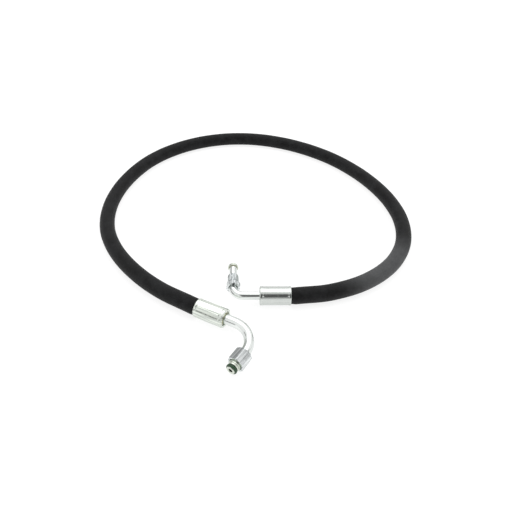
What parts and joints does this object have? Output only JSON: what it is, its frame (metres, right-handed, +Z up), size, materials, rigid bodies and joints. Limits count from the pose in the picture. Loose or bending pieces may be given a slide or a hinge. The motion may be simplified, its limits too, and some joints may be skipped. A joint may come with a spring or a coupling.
{
  "type": "hydraulic hose assembly",
  "caption": "Flexible hydraulic hose with crimped ferrules, a 90 degree tube elbow at each end, a female swivel nut on one and a male tube nut on the other.",
  "frame": {"origin": "on the floor, under the middle of the two end fittings", "axes": "+Z up from the floor that the hose lies on; +Y from the two ends towards the far side of the hose's loop; +X along ferrule B, from its tube towards the hose"},
  "size_m": [0.4366, 0.5079, 0.023],
  "materials": {
    "hose_rubber": "matt, faint wrap marks",
    "inner_rubber": "smooth",
    "wire_braid": "brass-coated steel wire",
    "ferrule_plating": "bright zinc plating, faint yellow-green cast",
    "tube_plating": "bright zinc plating",
    "nut_plating": "bright zinc plating, machined flats",
    "plated_steel": "bright zinc plating, turned",
    "braze": "plated over, slightly rough",
    "o_ring": "dark green, satin"
  },
  "bodies": {
    "hose_and_tubes": {"hose_liner": "inner_rubber", "inner_wire_braid": "wire_braid", "rubber_interlayer": "inner_rubber", "outer_wire_braid": "wire_braid", "hose_cover": "hose_rubber", "ferrule_a": "ferrule_plating", "insert_a": "plated_steel", "insert_braze_a": "braze", "elbow_tube_a": "tube_plating", "cone_a": "plated_steel", "cone_braze_a": "braze", "o_ring_a": "o_ring", "ferrule_b": "ferrule_plating", "insert_b": "plated_steel", "insert_braze_b": "braze", "elbow_tube_b": "tube_plating", "nose_b": "plated_steel", "nose_braze_b": "braze", "o_ring_b": "o_ring"},
    "nut_a": {"nut_a": "nut_plating"},
    "nut_b": {"nut_b": "nut_plating"}
  },
  "joints": [
    {"name": "nut_a_spin", "type": "hinge", "parent": "hose_and_tubes", "child": "nut_a", "pos_m": [-0.01082, -0.07825, 0.0115], "axis": [-0.5446, -0.8387, 0], "continuous": true},
    {"name": "nut_b_spin", "type": "hinge", "parent": "hose_and_tubes", "child": "nut_b", "pos_m": [-0.01322, 0.08054, 0.0115], "axis": [-0.0349, 0.9994, 0], "continuous": true}
  ]
}
